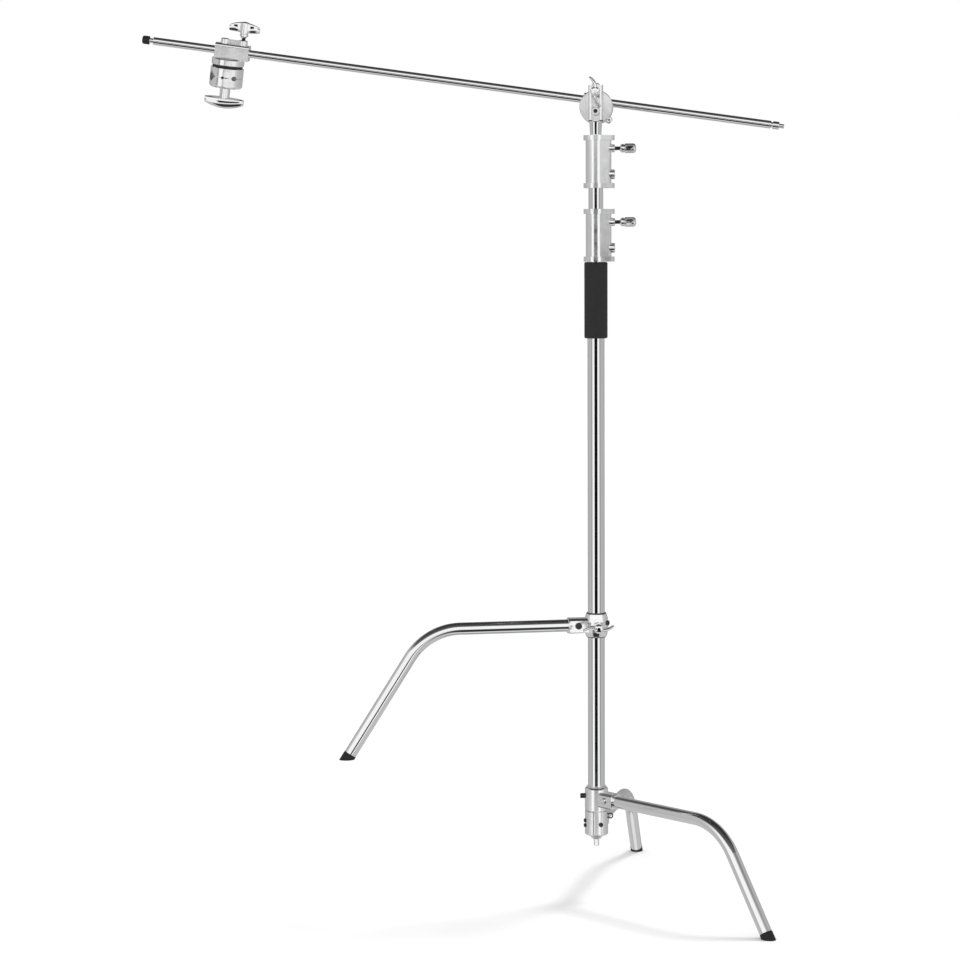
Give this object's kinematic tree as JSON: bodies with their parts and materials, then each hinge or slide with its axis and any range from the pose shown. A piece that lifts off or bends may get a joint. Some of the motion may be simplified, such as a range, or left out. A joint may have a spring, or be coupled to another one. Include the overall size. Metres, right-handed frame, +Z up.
{
  "type": "c stand",
  "caption": "Lighting C-stand: telescoping chrome column on bent folding legs, one leg sliding on the column, with a long grip arm held by a grip head and a second head on the arm.",
  "frame": {"origin": "on the column's axis, at the floor that the two lower feet stand on", "axes": "+Z up the column, +Y to the back, so that the long end of the arm points to -X"},
  "size_m": [1.3103, 0.8149, 1.7976],
  "materials": {
    "tube_chrome": "mirror polished chrome plate",
    "cast_chrome": "chrome plate over a cast surface",
    "handle_chrome": "bright chrome plate",
    "screw_steel": "dark plated steel",
    "rubber": "matte black rubber",
    "grip_foam": "fine grained black grip",
    "guide_plastic": "matte",
    "friction_fibre": "matte fibre disc",
    "brass": "machined"
  },
  "bodies": {
    "base": {"column_tube": "tube_chrome", "column_grip": "grip_foam", "column_end_plug": "tube_chrome", "column_end_stud": "tube_chrome", "lower_collar": "cast_chrome", "lower_collar_plug": "screw_steel", "lower_collar_shoe": "brass", "base_casting": "cast_chrome", "base_casting_screws": "screw_steel", "base_clip": "screw_steel", "base_leg": "tube_chrome", "base_leg_foot": "rubber", "base_leg_screw": "screw_steel"},
    "lower_collar_lock": {"lower_collar_handle": "handle_chrome", "lower_collar_screw": "screw_steel"},
    "riser_2": {"riser_2_tube": "tube_chrome", "riser_2_bush": "guide_plastic", "upper_collar": "cast_chrome", "upper_collar_plug": "screw_steel", "upper_collar_shoe": "brass"},
    "upper_collar_lock": {"upper_collar_handle": "handle_chrome", "upper_collar_screw": "screw_steel"},
    "riser_3": {"riser_3_tube": "tube_chrome", "riser_3_bush": "guide_plastic", "top_spigot": "tube_chrome"},
    "middle_leg": {"middle_leg_casting": "cast_chrome", "middle_leg_bolt": "screw_steel", "middle_leg": "tube_chrome", "middle_leg_foot": "rubber", "middle_leg_screw": "handle_chrome"},
    "sliding_leg_liner": {"sliding_leg_liner": "guide_plastic"},
    "sliding_leg": {"sliding_leg_casting": "cast_chrome", "sliding_leg_plug": "screw_steel", "sliding_leg": "tube_chrome", "sliding_leg_foot": "rubber", "sliding_leg_screw": "screw_steel"},
    "sliding_leg_lock": {"sliding_leg_handle": "handle_chrome", "sliding_leg_handle_screw": "screw_steel"},
    "arm": {"arm_tube": "tube_chrome", "arm_left_fitting": "tube_chrome", "arm_left_cap": "rubber", "arm_right_fitting": "tube_chrome"},
    "top_head": {"top_head_block": "cast_chrome", "top_head_friction_pad": "friction_fibre"},
    "top_head_lock": {"top_head_lock_handle": "handle_chrome", "top_head_lock_screw": "screw_steel"},
    "top_head_jaw": {"top_head_inner_jaw": "cast_chrome"},
    "top_head_outer_jaw": {"top_head_outer_jaw": "cast_chrome"},
    "top_head_clamp": {"top_head_clamp_handle": "handle_chrome", "top_head_clamp_stud": "screw_steel"},
    "arm_head": {"arm_head_block": "cast_chrome", "arm_head_friction_pad": "friction_fibre"},
    "arm_head_lock": {"arm_head_lock_handle": "handle_chrome", "arm_head_lock_screw": "screw_steel"},
    "arm_head_jaw": {"arm_head_inner_jaw": "cast_chrome"},
    "arm_head_outer_jaw": {"arm_head_outer_jaw": "cast_chrome"},
    "arm_head_clamp": {"arm_head_clamp_handle": "handle_chrome", "arm_head_clamp_stud": "screw_steel"}
  },
  "joints": [
    {"name": "lower_collar_lock_turn", "type": "hinge", "parent": "base", "child": "lower_collar_lock", "pos_m": [0.0432, 0, 1.3865], "axis": [1, 0, 0], "range_deg": [0, 540]},
    {"name": "riser_2_slide", "type": "slide", "parent": "base", "child": "riser_2", "axis": [0, 0, 1], "range_m": [-0.04, 0.8]},
    {"name": "upper_collar_lock_turn", "type": "hinge", "parent": "riser_2", "child": "upper_collar_lock", "pos_m": [0.0432, 0, 1.5345], "axis": [1, 0, 0], "range_deg": [0, 540]},
    {"name": "riser_3_slide", "type": "slide", "parent": "riser_2", "child": "riser_3", "axis": [0, 0, 1], "range_m": [-0.02, 0.8]},
    {"name": "middle_leg_swivel", "type": "hinge", "parent": "base", "child": "middle_leg", "pos_m": [0, 0, 0.207], "axis": [0, 0, 1], "range_deg": [0, 116]},
    {"name": "sliding_leg_lift", "type": "slide", "parent": "base", "child": "sliding_leg_liner", "axis": [0, 0, 1], "range_m": [-0.306, 0.5]},
    {"name": "sliding_leg_swivel", "type": "hinge", "parent": "sliding_leg_liner", "child": "sliding_leg", "pos_m": [0, 0, 0.566], "axis": [0, 0, 1], "range_deg": [-107, 0]},
    {"name": "sliding_leg_lock_turn", "type": "hinge", "parent": "sliding_leg", "child": "sliding_leg_lock", "pos_m": [0.00334, -0.03182, 0.566], "axis": [0.1045, -0.9945, 0], "range_deg": [0, 540]},
    {"name": "top_head_swivel", "type": "hinge", "parent": "riser_3", "child": "top_head", "pos_m": [0, 0, 1.619], "axis": [0, 0, 1], "continuous": true},
    {"name": "top_head_lock_turn", "type": "hinge", "parent": "top_head", "child": "top_head_lock", "pos_m": [0, -0.0255, 1.646], "axis": [0, -1, 0], "range_deg": [0, 540]},
    {"name": "top_head_jaw_turn", "type": "hinge", "parent": "top_head", "child": "top_head_jaw", "pos_m": [0, 0.052, 1.619], "axis": [0, 1, 0], "continuous": true},
    {"name": "top_head_clamp_turn", "type": "hinge", "parent": "top_head_outer_jaw", "child": "top_head_clamp", "pos_m": [0, 0.0745, 1.619], "axis": [0, 1, 0], "range_deg": [0, 720]},
    {"name": "top_head_jaw_open", "type": "slide", "parent": "top_head_jaw", "child": "top_head_outer_jaw", "axis": [0, 1, 0], "range_m": [0, 0.004]},
    {"name": "arm_slide", "type": "slide", "parent": "top_head_jaw", "child": "arm", "axis": [0.99, 0, -0.1409], "range_m": [-0.29, 0.66]},
    {"name": "arm_head_swivel", "type": "hinge", "parent": "arm", "child": "arm_head", "pos_m": [-0.75066, 0.052, 1.73846], "axis": [0.99, 0, -0.1409], "continuous": true},
    {"name": "arm_head_lock_turn", "type": "hinge", "parent": "arm_head", "child": "arm_head_lock", "pos_m": [-0.72037, 0.04845, 1.75966], "axis": [0.1395, -0.1392, 0.9804], "range_deg": [0, 540]},
    {"name": "arm_head_jaw_turn", "type": "hinge", "parent": "arm_head", "child": "arm_head_jaw", "pos_m": [-0.75791, 0.05924, 1.68748], "axis": [-0.1395, 0.1392, -0.9804], "continuous": true},
    {"name": "arm_head_clamp_turn", "type": "hinge", "parent": "arm_head_outer_jaw", "child": "arm_head_clamp", "pos_m": [-0.76105, 0.06237, 1.66542], "axis": [-0.1395, 0.1392, -0.9804], "range_deg": [0, 720]},
    {"name": "arm_head_jaw_open", "type": "slide", "parent": "arm_head_jaw", "child": "arm_head_outer_jaw", "axis": [-0.1395, 0.1392, -0.9804], "range_m": [0, 0.004]}
  ],
  "couplings": [
    {"joint": "top_head_clamp_turn", "follows": "top_head_jaw_open", "rad_per_m": 3141.6},
    {"joint": "arm_head_clamp_turn", "follows": "arm_head_jaw_open", "rad_per_m": 3141.6}
  ]
}
